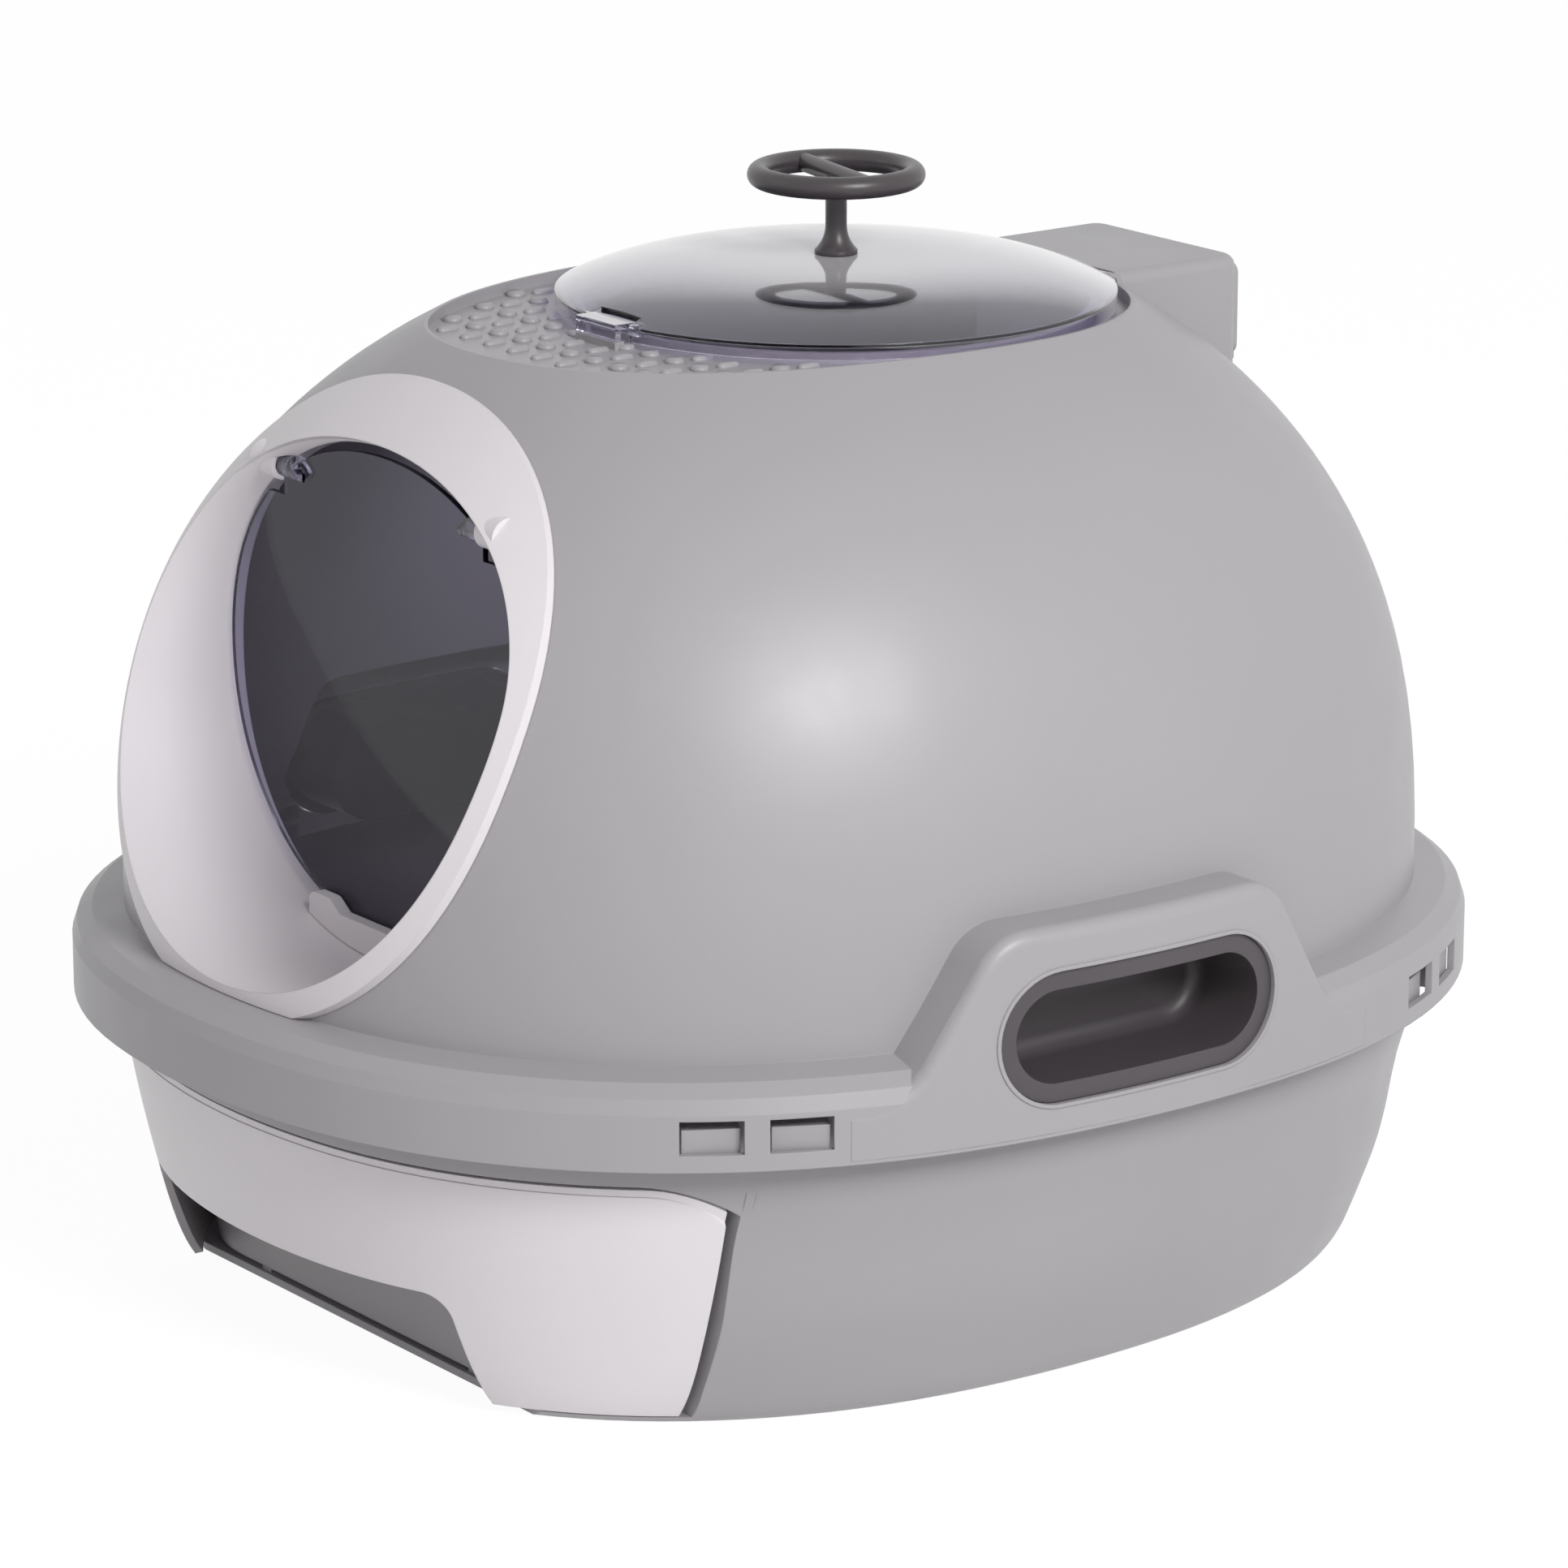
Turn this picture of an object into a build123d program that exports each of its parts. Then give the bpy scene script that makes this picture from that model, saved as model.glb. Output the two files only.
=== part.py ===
from build123d import *
from build123d.topology import SkipClean
import os
from math import copysign, cos, pi, radians, sin, sqrt

# Covered litter box with a domed hood, a swing door, a round top lid and a front drawer.
# Millimetres, +Z up, front towards -Y. The origin is on the floor, under the middle of the hood flange.

os.makedirs("parts", exist_ok=True)

# Overall sizes, measured at the hood flange and at the rim of the top recess
overall_width = 480.0
overall_depth = 538.0
crown_height = 368.5
oval_power = 2.28

# Walls and clearances
hood_wall = 2.6
base_wall = 2.8
seat_gap = 0.3
sliding_gap = 0.8
pin_gap = 0.05

# Hood flange, wall and dome
flange_bottom = 112.0
flange_face = 21.0
flange_shoulder = 12.5
flange_overhang = 19.3
dome_start = 152.0
dome_bulge = 2.5
dome_round = 1.9

# Top recess and the opening under the lid
recess_width = 216.4
recess_depth = 274.0
recess_drop = 4.5
recess_border = 1.4
lid_centre = 30.0
opening_radius = 96.0
coaming_width = 3.2
coaming_height = 3.6

# Top lid
lid_radius = 107.2
lid_wall = 2.4
lid_skirt = 6.0
lid_rise = 13.0
lid_power = 4
lid_seat = 2.3
hinge_line = 130.0
hinge_above_recess = 5.0
hinge_knuckle_radius = 3.2
hinge_pin_radius = 1.5
hinge_span = 41.0
ear_width = 4.0
ear_radius = 3.4
knuckle_length = 12.0

# Lid latch at the front of the lid
latch_width = 25.0
latch_pin_radius = 1.2
latch_barrel_radius = 2.6
latch_inset = 3.6

# Lid handle
wheel_radius = 29.6
wheel_tube = 4.3
wheel_top = 420.0
spoke_turn = 11.0
stem_radius = 4.1
foot_radius = 8.2
screw_radius = 2.0

# Entrance: outline on the dome, mouth, and throat where the door hangs
collar_tilt = 24.0
collar_half_width = 121.3
collar_up = 115.2
collar_down = 127.7
collar_middle = 256.5
collar_front = -211.0
mouth_tilt = 21.2
mouth_half_width = 115.0
mouth_up = 87.0
mouth_down = 117.6
mouth_middle = 259.4
mouth_front = -220.4
tilt_level = 230.0
throat_half_width = 107.5
throat_up = 98.0
throat_down = 97.0
throat_middle = 240.0
throat_front = -177.5
throat_lip = 7.0
collar_wall = 2.6
collar_proud = 3.6
collar_gap = 0.6
collar_block = 60.0
mouth_block = 50.0

# Door flap, its pegs and the sill in front of its lower edge
flap_margin = 3.6
flap_thickness = 2.4
flap_centre = -177.6
flap_bottom = 150.5
hinge_height = 319.5
peg_radius = 4.5
peg_inner = 53.0
peg_shoulder = 66.0
stub_radius = 3.0
stub_end = 76.0
peg_clearance = 0.5
boss_radius = 6.0
boss_gap = 0.5
boss_end = 4.0
sill_half_width = 45.0
horn_width = 21.0
sill_top = 155.7
horn_top = 160.5
sill_thickness = 5.0

# Side handles and the raised arch round each one
handle_centre = -13.0
handle_height = 149.0
handle_length = 124.0
handle_width = 49.0
handle_rim = 7.0
handle_pocket = 36.0
handle_recess = 1.2
handle_wall = 2.4
handle_face = 3.0
lip_width = 1.5
lip_proud = 0.7
arch_foot_width = 194.0
arch_top_width = 124.0
arch_wing = 20.0
arch_top = 190.0
arch_proud = 0.15
arch_corner = 22.0
arch_sweep = 25.0
arch_edge = 5.0
arch_wall = 4.1

# Clip windows and the hooks behind them
clip_x = 200.0
clip_y = 157.0
clip_width = 22.9
clip_gap = 9.1
clip_low = 118.5
clip_high = 131.0
hook_height = 10.0
hook_play = 1.0
hook_inset = 1.8

# Rear box on the hood, with the filter drawer
box_width = 88.0
box_front = 133.5
box_rear = 196.3
box_top = 372.0
box_corner = 8.0
pocket_floor = 318.0
filter_opening = 70.0
filter_height = 30.0
filter_sill = 334.0
filter_pad = 12.0
slot_width = 3.2
slot_pitch = 7.0

# Base shell
base_bottom_width = 380.0
base_bottom_depth = 450.0
base_top_inset = 15.8
base_curve = 0.62
base_floor = 3.0
rim_seat = 136.2
front_line = -193.0
frame_face = -153.0
frame_thickness = 3.0
drawer_top = 99.0
runner_height = 1.2
runner_width = 6.0
runner_centre = 70.0

# Drawer tray and its white front
tray_top_width = 328.0
tray_bottom_width = 290.0
tray_front = -194.5
tray_rear = 150.0
tray_draft = 3.0
tray_corner = 58.0
tray_wall = 2.5
tray_height = 90.0
front_face = -157.0
front_wall = 3.0
front_half = 184.0
front_corner = 18.0
front_border = 2.8
border_step = 0.6
front_gap = 1.6
front_bottom = 3.4
arch_cut_half = 98.0
arch_cut_top = 48.0
arch_cut_corner = 10.0
screw_boss_x = 62.0
screw_boss_z = 78.0
screw_boss_radius = 5.0

# Sizes worked out from the ones above
half_width = overall_width / 2
half_depth = overall_depth / 2
recess_floor = crown_height - recess_drop
ledge_height = rim_seat + seat_gap
lid_edge = recess_floor + lid_seat
lid_shoulder = lid_edge + lid_skirt
lid_top = lid_shoulder + lid_rise
hinge_height_lid = recess_floor + hinge_above_recess
drawer_cut_top = drawer_top + front_gap
tray_bottom = base_floor + runner_height + seat_gap


def oval_points(half_x, half_y, centre=0.0, start=0.0, power=oval_power, count=28):
    """Points round an oval fuller than an ellipse, from a start given as a share of a turn.
    centre moves the widest line along Y."""
    points = []
    for step in range(count):
        turn = 2 * pi * ((step + 0.5) / count + start)
        reach = half_y - centre if sin(turn) > 0 else half_y + centre
        x = half_x * copysign(abs(cos(turn)) ** (2 / power), cos(turn))
        y = reach * copysign(abs(sin(turn)) ** (2 / power), sin(turn))
        points.append((x, centre + y))
    return points


def egg_points(half_x, up, down, middle, power=2.1, count=28):
    """Points round an upright egg outline, as (x, height) pairs."""
    points = []
    for step in range(count):
        turn = 2 * pi * (step + 0.5) / count
        reach = up if sin(turn) > 0 else down
        x = half_x * copysign(abs(cos(turn)) ** (2 / power), cos(turn))
        z = reach * copysign(abs(sin(turn)) ** (2 / power), sin(turn))
        points.append((x, middle + z))
    return points


def closed_face(points):
    """Flat face inside a smooth closed curve through the points."""
    return Face(Wire(Spline(*points, periodic=True)))


def level_oval(half_x, half_y, height, centre=0.0, start=0.0):
    """Oval face at a height."""
    return closed_face([(x, y, height) for x, y in oval_points(half_x, half_y, centre, start)])


def box_between(x0, x1, y0, y1, z0, z1):
    """Block between two corners."""
    middle = Location(((x0 + x1) / 2, (y0 + y1) / 2, (z0 + z1) / 2))
    return middle * Box(x1 - x0, y1 - y0, z1 - z0)


def rod_x(x0, x1, y, z, radius):
    """Round bar along X."""
    return Location(((x0 + x1) / 2, y, z)) * Rotation(0, 90, 0) * Cylinder(radius, x1 - x0)


def rod_y(y0, y1, x, z, radius):
    """Round bar along Y."""
    return Location((x, (y0 + y1) / 2, z)) * Rotation(90, 0, 0) * Cylinder(radius, y1 - y0)


def both_sides(shape):
    """A shape and its mirror image across the middle plane."""
    return shape + mirror(shape, about=Plane.YZ)


# Outlines of the hood and the base by height

def dome_ratio(height, top_ratio):
    """How much of its wall size the dome keeps at a height."""
    rise = max(0.0, (height - dome_start) / (crown_height - dome_start))
    return (1 - (1 - top_ratio ** dome_round) * rise ** dome_bulge) ** (1 / dome_round)


def dome_oval(height, inset=0.0, at=None):
    """Hood outline at a height, moved in by inset, drawn at another height if given."""
    wall_x = half_width - flange_overhang
    wall_y = half_depth - flange_overhang
    half_x = wall_x * dome_ratio(height, (recess_width / 2 + recess_border) / wall_x)
    half_y = wall_y * dome_ratio(height, (recess_depth / 2 + recess_border) / wall_y)
    rise = max(0.0, (height - dome_start) / (crown_height - dome_start))
    centre = lid_centre * rise ** 4
    return level_oval(half_x - inset, half_y - inset, height if at is None else at, centre)


def dome_solid(inset=0.0, drop=0.0, low=128.0):
    """Dome moved in by inset and down by drop, closed at its top."""
    span = crown_height - dome_start
    heights = [low + drop, dome_start - 4]
    heights += [dome_start + span * part for part in (0.2, 0.4, 0.56, 0.7, 0.82, 0.92, 1.0)]
    if drop > 0:
        heights[-1] = crown_height - drop * 1.5
    return loft([dome_oval(height, inset, height - drop) for height in heights])


def base_half_sizes(height):
    """Half width and half depth of the base bowl at a height."""
    part = min(1.0, max(0.0, height / flange_bottom)) ** base_curve
    bottom_x = base_bottom_width / 2
    bottom_y = base_bottom_depth / 2
    top_x = half_width - base_top_inset
    top_y = half_depth - base_top_inset
    return bottom_x + (top_x - bottom_x) * part, bottom_y + (top_y - bottom_y) * part


def bowl_solid(inset=0.0, low=0.0, high=None):
    """Base bowl moved in by inset, between two heights."""
    high = rim_seat if high is None else high
    middle = [height for height in (3.0, 10.0, 26.0, 56.0, 88.0, flange_bottom) if low < height < high]
    sections = []
    for height in [low] + middle + [high]:
        half_x, half_y = base_half_sizes(height)
        sections.append(level_oval(half_x - inset, half_y - inset, height))
    return loft(sections)


# Hood shell and the pieces fixed to it

def tilted_egg(half_x, up, down, middle, front, tilt, outset=0.0):
    """Egg outline face on a plane that leans back by tilt from a front line at the tilt level."""
    lean = radians(tilt)
    points = []
    for x, along in egg_points(half_x + outset, up + outset, down + outset, middle):
        rise = along - tilt_level
        points.append((x, front + rise * sin(lean), tilt_level + rise * cos(lean)))
    return closed_face(points)


def collar_outline(outset=0.0):
    return tilted_egg(collar_half_width, collar_up, collar_down, collar_middle,
                      collar_front, collar_tilt, outset)


def mouth_outline(outset=0.0):
    return tilted_egg(mouth_half_width, mouth_up, mouth_down, mouth_middle,
                      mouth_front, mouth_tilt, outset)


def throat_outline(outset=0.0, shift=0.0):
    return tilted_egg(throat_half_width, throat_up, throat_down, throat_middle,
                      throat_front + shift, 0.0, outset)


def funnel(outset, lip, front=0.0):
    """Tapered block from the mouth back to the throat and on through its straight lip. front makes it
    start that far outside the mouth."""
    lean = radians(mouth_tilt)
    sections = [mouth_outline(outset), throat_outline(outset), throat_outline(outset, lip)]
    if front:
        sections.insert(0, mouth_outline(outset).translate(Vector(0, -front * cos(lean), front * sin(lean))))
    return loft(sections, ruled=True)


def slab_through(outline, tilt, reach):
    """Prism through the dome wall along the normal of a tilted outline."""
    lean = radians(tilt)
    inward = Vector(0, cos(lean), -sin(lean))
    start = outline.translate(inward * -reach)
    return extrude(start, amount=2 * reach, dir=inward)


def arch_prism(outset, outline_inset, low, shoulder, high, inner):
    """Raised pad for one side handle: the flange outline carried up inside an arch with swept feet."""
    foot = arch_foot_width / 2 + outset
    top = arch_top_width / 2 + outset
    half = [(-foot - arch_wing, low), (-foot - arch_wing, shoulder), (-foot, shoulder), (-top, high)]
    outline = half + [(-y, z) for y, z in reversed(half)]
    face = make_face(Polyline(*[(handle_centre + y, z) for y, z in outline], close=True))
    upper = [corner for corner in face.vertices() if corner.Y > high - 0.1]
    face = fillet(upper, arch_corner + outset)
    feet = [corner for corner in face.vertices() if abs(corner.Y - shoulder) < 0.1
            and abs(abs(corner.X - handle_centre) - foot) < 0.1]
    face = fillet(feet, arch_sweep - outset)
    arch = extrude(Plane.YZ * face, amount=half_width + 20, dir=(1, 0, 0)) - box_between(
        -1, inner, -half_depth, half_depth, low - 1, high + 1)
    limit = level_oval(half_width - outline_inset, half_depth - outline_inset, low)
    return arch & extrude(limit, amount=high - low, dir=(0, 0, 1))


def flange_prism(inset, low, high):
    """Flange outline moved in by inset, between two heights."""
    return extrude(level_oval(half_width - inset, half_depth - inset, low), amount=high - low, dir=(0, 0, 1))


def handle_lip():
    """Fine raised lip on the hood round the seat of one side handle."""
    seat = handle_length + 2 * seat_gap, handle_width + 2 * seat_gap
    lip = stadium_prism(seat[0] + 2 * lip_width, seat[1] + 2 * lip_width, half_width - 12, half_width + 5)
    return lip & flange_prism(-lip_proud, handle_height - handle_width, handle_height + handle_width)


def stadium_prism(length, height, x0, x1):
    """Rounded slot shape of the side handle, as a block along X."""
    profile = Plane.YZ * Location((handle_centre, handle_height)) * SlotOverall(length, height)
    return Location((x0, 0, 0)) * extrude(profile, amount=x1 - x0, dir=(1, 0, 0))


def clip_places():
    """Middle point and turn of every clip window, eight in all, on the flange outline."""
    slope_x = (clip_x / half_width) ** (oval_power - 1) / half_width
    slope_y = (clip_y / half_depth) ** (oval_power - 1) / half_depth
    size = sqrt(slope_x ** 2 + slope_y ** 2)
    along = (-slope_y / size, slope_x / size)
    reach = ((clip_x / half_width) ** oval_power + (clip_y / half_depth) ** oval_power) ** (-1 / oval_power)
    step = (clip_width + clip_gap) / 2
    places = []
    for side_x in (1, -1):
        for side_y in (1, -1):
            for shift in (-step, step):
                x = clip_x * reach + along[0] * shift
                y = clip_y * reach + along[1] * shift
                normal = (side_x * slope_x / size, side_y * slope_y / size)
                places.append((side_x * x, side_y * y, normal))
    return places


def clip_block(place, width, outward, inward, low, high):
    """Upright block across the flange wall at a clip place."""
    x, y, normal = place
    plane = Plane(origin=(x, y, low), x_dir=(-normal[1], normal[0], 0), z_dir=(0, 0, 1))
    depth = outward + inward
    shift = (outward - inward) / 2
    side = -1 if plane.y_dir.X * normal[0] + plane.y_dir.Y * normal[1] < 0 else 1
    block = Box(width, depth, high - low, align=(Align.CENTER, Align.CENTER, Align.MIN))
    return plane * Location((0, side * shift, 0)) * block


def flange_body():
    """Outside of the flange with its rolled shoulder."""
    levels = [
        (0.0, 0.0),
        (flange_face, 0.0),
        (flange_face + flange_shoulder * 0.45, 1.8),
        (flange_face + flange_shoulder * 0.8, 7.5),
        (flange_face + flange_shoulder, flange_overhang + 1),
    ]
    sections = []
    for rise, inset in levels:
        sections.append(level_oval(half_width - inset, half_depth - inset, flange_bottom + rise, start=0.25))
    return loft(sections, ruled=True)


def rear_box():
    """Outside of the box moulded on the back of the hood."""
    body = box_between(-box_width / 2, box_width / 2, box_front, box_rear, pocket_floor - hood_wall, box_top)
    corners = body.edges().filter_by(Axis.Z).group_by(Axis.Y)[-1]
    body = fillet(corners, box_corner)
    top = body.faces().sort_by(Axis.Z)[-1]
    rounded = [edge for edge in top.edges() if edge.center().Y > box_front + 1]
    return fillet(rounded, box_corner * 0.6)


def filter_slots(low, high):
    """Vent slots through the floor of the filter pocket."""
    count = int((box_width - 24) / slot_pitch)
    slots = Part()
    for index in range(count):
        x = (index - (count - 1) / 2) * slot_pitch
        slots += box_between(x - slot_width / 2, x + slot_width / 2, box_front + 14, box_rear - 16, low, high)
    return slots


def hood_shell():
    """Dome, flange, arches and rear box in one moulding."""
    outside = dome_solid() + flange_body() + rear_box()
    shoulder = flange_bottom + flange_face
    arch = arch_prism(0, -arch_proud, flange_bottom + 1.5, shoulder, arch_top, half_width - 50)
    rim = [edge for edge in arch.faces().sort_by(Axis.X)[-1].edges() if edge.center().Z > shoulder - 1]
    outside += both_sides(fillet(rim, arch_edge) + handle_lip())

    inside = dome_solid(hood_wall, hood_wall + 0.6, low=flange_bottom - 10)
    cavity = level_oval(half_width - hood_wall, half_depth - hood_wall, flange_bottom - 10, start=0.25)
    inside += extrude(cavity, amount=ledge_height - flange_bottom + 10, dir=(0, 0, 1))
    hollow = arch_prism(-arch_edge - hood_wall, arch_wall, shoulder - 8, shoulder - 5,
                        arch_top - hood_wall, half_width - 46)
    inside += both_sides(hollow)
    inside -= rear_box()
    shell = outside - inside

    recess = level_oval(recess_width / 2, recess_depth / 2, recess_floor, lid_centre)
    box_keep = box_between(-box_width, box_width, box_front, box_rear + 50, recess_floor, box_top + 1)
    shell -= extrude(recess, amount=recess_drop + 1, dir=(0, 0, 1)) - box_keep
    opening = Location((0, lid_centre, crown_height)) * Cylinder(opening_radius, 60)
    ring = Location((0, lid_centre, recess_floor - 1)) * Cylinder(
        opening_radius + coaming_width, coaming_height + 1, align=(Align.CENTER, Align.CENTER, Align.MIN))
    shell = shell + ring - opening

    shell -= funnel(collar_wall + collar_gap, throat_lip + 6, mouth_block)
    shell -= peg_room(peg_radius + peg_clearance + collar_wall + collar_gap, peg_inner - 3,
                      stub_end + boss_end + collar_gap)
    shell -= box_between(-hinge_span - ear_width, hinge_span + ear_width, lid_centre, box_front,
                         recess_floor, crown_height + 1)
    shell -= both_sides(stadium_prism(handle_length + 2 * seat_gap, handle_width + 2 * seat_gap,
                                      half_width - 30, half_width + 10))
    for place in clip_places():
        shell -= clip_block(place, clip_width, 6, 6, clip_low, clip_high)

    pocket = box_between(-box_width / 2 + hood_wall, box_width / 2 - hood_wall, box_front + hood_wall,
                         box_rear - hood_wall, pocket_floor, box_top - hood_wall)
    shell -= pocket
    shell -= filter_slots(pocket_floor - hood_wall - 1, pocket_floor + 1)
    shell -= box_between(-filter_opening / 2, filter_opening / 2, box_rear - hood_wall - 12, box_rear + 1,
                         filter_sill, filter_sill + filter_height)
    return shell + hinge_ears() + latch_keeper() + filter_shelf()


def hinge_ears():
    """Two round-topped ears in front of the rear box that hold the lid pin."""
    ear = rod_x(hinge_span, hinge_span + ear_width, hinge_line, hinge_height_lid, ear_radius)
    ear += box_between(hinge_span, hinge_span + ear_width, hinge_line - ear_radius, box_front + 0.5,
                       recess_floor - 0.5, hinge_height_lid)
    return both_sides(ear - rod_x(hinge_span - 1, hinge_span + ear_width + 1, hinge_line,
                                  hinge_height_lid, hinge_pin_radius + pin_gap))


def latch_keeper():
    """Block on the recess floor that the latch hooks over."""
    front = lid_centre - lid_radius
    block = box_between(-latch_width / 2, latch_width / 2, front - 5.4, front - 1.2,
                        recess_floor - 0.5, lid_edge + 0.6)
    return block


def filter_shelf():
    """Two rails in the rear box that carry the filter frame."""
    rail = box_between(filter_opening / 2 - 4, box_width / 2 - hood_wall + 0.5, box_front + hood_wall - 0.5,
                       box_rear - hood_wall + 0.5, filter_sill - 3.5, filter_sill - seat_gap)
    return both_sides(rail)


def peg_room(radius, inner, outer):
    """Round bars along the door axis on both sides, for its pockets, bosses and holes."""
    return both_sides(rod_x(inner, outer, flap_centre, hinge_height, radius))


def entrance_collar():
    """White surround: a proud rim on the dome and a funnel back to the door."""
    relief = peg_radius + peg_clearance
    body = slab_through(collar_outline(), collar_tilt, collar_block) - dome_solid(-seat_gap)
    body -= Location((0, 0, seat_gap)) * flange_body()
    body += funnel(collar_wall, throat_lip, mouth_block)
    body &= dome_solid(-collar_proud)
    body += peg_room(relief + collar_wall, peg_inner - 2, stub_end + boss_end)
    body -= funnel(0.0, throat_lip + 1, mouth_block + 5)
    body += peg_room(boss_radius, peg_shoulder + boss_gap, stub_end + boss_end - 1)
    body -= peg_room(relief, peg_inner - 10, peg_shoulder + boss_gap)
    return body - peg_room(stub_radius + pin_gap, peg_shoulder - 1, stub_end + boss_gap)


def door_sill():
    """Raised sill in front of the flap, with a rounded horn at each end."""
    inner = sill_half_width - horn_width
    outline = Polyline((-sill_half_width, 132), (sill_half_width, 132), (sill_half_width, horn_top),
                       (inner + 7, horn_top), (inner, sill_top), (-inner, sill_top),
                       (-inner - 7, horn_top), (-sill_half_width, horn_top), close=True)
    profile = make_face(outline)
    tops = [corner for corner in profile.vertices() if corner.Y > horn_top - 0.1]
    profile = fillet(tops, 4)
    back = flap_centre - flap_thickness / 2 - sliding_gap
    body = extrude(Plane.XZ * profile, amount=sill_thickness, dir=(0, -1, 0))
    body = Location((0, back, 0)) * body
    return body & funnel(-seat_gap, throat_lip)


def door_peg(side):
    """Clear stepped peg that carries one top corner of the flap."""
    body = rod_x(peg_inner, peg_shoulder, flap_centre, hinge_height, peg_radius)
    body += rod_x(peg_shoulder - 1, stub_end, flap_centre, hinge_height, stub_radius)
    corner = Location((peg_inner, flap_centre, hinge_height + peg_radius)) * Rotation(0, -45, 0)
    body -= corner * Box(8, 20, 8)
    return body if side > 0 else mirror(body, about=Plane.YZ)


def door_flap(pegs):
    """Clear flap that hangs in the throat, cut out round its pegs."""
    top = throat_middle + throat_up - flap_margin
    middle = throat_middle + 6
    outline = tilted_egg(throat_half_width - flap_margin, top - middle, middle - flap_bottom, middle,
                         flap_centre - flap_thickness / 2, 0.0)
    flap = extrude(outline, amount=flap_thickness, dir=(0, 1, 0))
    notch_depth = peg_radius + peg_clearance + collar_wall + flap_margin
    for side in (-1, 1):
        x0 = side * (peg_shoulder - sliding_gap)
        x1 = side * (peg_shoulder + 30)
        flap -= box_between(min(x0, x1), max(x0, x1), flap_centre - 5, flap_centre + 5,
                            hinge_height - notch_depth, hinge_height + 40)
    for peg in pegs:
        flap -= peg
    return flap


def side_handle(side):
    """Dark recessed grip with a rim that follows the curve of the flange."""
    low = handle_height - handle_width
    high = handle_height + handle_width
    face = half_width - handle_recess
    front = flange_prism(handle_recess, low, high)
    body = stadium_prism(handle_length, handle_width, face - 25, face + 5) & front
    body -= flange_prism(handle_recess + handle_face, low - 1, high + 1)
    open_length = handle_length - 2 * handle_rim
    open_width = handle_width - 2 * handle_rim
    cup = stadium_prism(open_length + 2 * handle_wall, open_width + 2 * handle_wall,
                        face - handle_pocket - handle_wall, face + 5)
    body += cup & front
    hollow = stadium_prism(open_length, open_width, face - handle_pocket, face + 5)
    floor = [edge for edge in hollow.edges() if edge.center().X < face - handle_pocket + 0.1]
    body -= fillet(floor, 6)
    return body if side > 0 else mirror(body, about=Plane.YZ)


# Top lid and its fittings

def crown_curve(drop=0.0, radius=lid_radius):
    """Half outline of the lid crown, from the middle to the rim."""
    points = []
    for part in (0.0, 0.35, 0.6, 0.78, 0.9, 0.97, 1.0):
        points.append((radius * part, lid_shoulder - drop + lid_rise * (1 - part ** lid_power)))
    return points


def turned(points_up, points_down):
    """Solid turned round the lid axis between an upper and a lower half outline."""
    edges = [Spline(*points_up), Line(points_up[-1], points_down[-1]), Spline(*points_down),
             Line(points_down[0], points_up[0])]
    face = make_face(Curve() + edges)
    return Location((0, lid_centre, 0)) * revolve(Plane.XZ * face, Axis.Z)


def lid_ears():
    """Small ears under the lid rim that hold the latch pin."""
    y = lid_centre - lid_radius + latch_inset
    ear = box_between(latch_width / 2 + 0.4, latch_width / 2 + 4, y - 2.4, y + 2.6,
                      lid_shoulder - 3.6, lid_shoulder + 0.8)
    return both_sides(ear)


def lid_knuckles():
    """Two clear barrels with short arms at the back of the lid."""
    start = hinge_span - 0.4 - knuckle_length
    barrel = rod_x(start, hinge_span - 0.4, hinge_line, hinge_height_lid, hinge_knuckle_radius)
    arm = box_between(start, hinge_span - 0.4, hinge_line - 6, hinge_line,
                      hinge_height_lid, hinge_height_lid + 2.5)
    return both_sides(barrel + arm)


def top_lid():
    """Clear round lid with a short skirt, cut straight at its hinge."""
    shell = turned(crown_curve(), crown_curve(lid_wall, lid_radius - 0.4))
    skirt = Location((0, lid_centre, lid_edge)) * Cylinder(
        lid_radius, lid_shoulder - lid_edge, align=(Align.CENTER, Align.CENTER, Align.MIN))
    skirt -= Location((0, lid_centre, lid_edge - 1)) * Cylinder(
        lid_radius - lid_wall, lid_shoulder - lid_edge + 2, align=(Align.CENTER, Align.CENTER, Align.MIN))
    lid = shell + skirt
    lid -= box_between(-60, 60, hinge_line - 4.5, hinge_line + 40, lid_edge - 2, lid_top + 2)
    notch_back = lid_centre - lid_radius + latch_inset + latch_barrel_radius + 0.4
    notch = box_between(-latch_width / 2 - 0.4, latch_width / 2 + 0.4, notch_back - 30, notch_back,
                        lid_edge - 2, lid_top + 2)
    lid = lid + lid_ears() - notch + lid_knuckles()
    lid -= rod_x(-60, 60, hinge_line, hinge_height_lid, hinge_pin_radius + pin_gap)
    y = lid_centre - lid_radius + latch_inset
    lid -= rod_x(-latch_width / 2 - 3, latch_width / 2 + 3, y, lid_shoulder - 1.4,
                 latch_pin_radius + pin_gap)
    lid -= Location((0, lid_centre, lid_top)) * Cylinder(screw_radius + 0.3, 20)
    return lid


def lid_latch():
    """Clear finger latch that turns on two short pins at the front of the lid."""
    front = lid_centre - lid_radius
    y = front + latch_inset
    z = lid_shoulder - 1.4
    half = latch_width / 2
    body = rod_x(-half, half, y, z, latch_barrel_radius)
    body += box_between(-half, half, front - 5.2, y, z + 0.4, z + latch_barrel_radius)
    body += box_between(-half, half, front - 5.2, front - 2.8, lid_edge + 1.2, z + latch_barrel_radius)
    body += rod_x(-half - 2.6, half + 2.6, y, z, latch_pin_radius)
    return body


def lid_hinge_pin():
    """Steel pin through the ears and the knuckles."""
    reach = hinge_span + ear_width - 0.4
    return rod_x(-reach, reach, hinge_line, hinge_height_lid, hinge_pin_radius)


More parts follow.
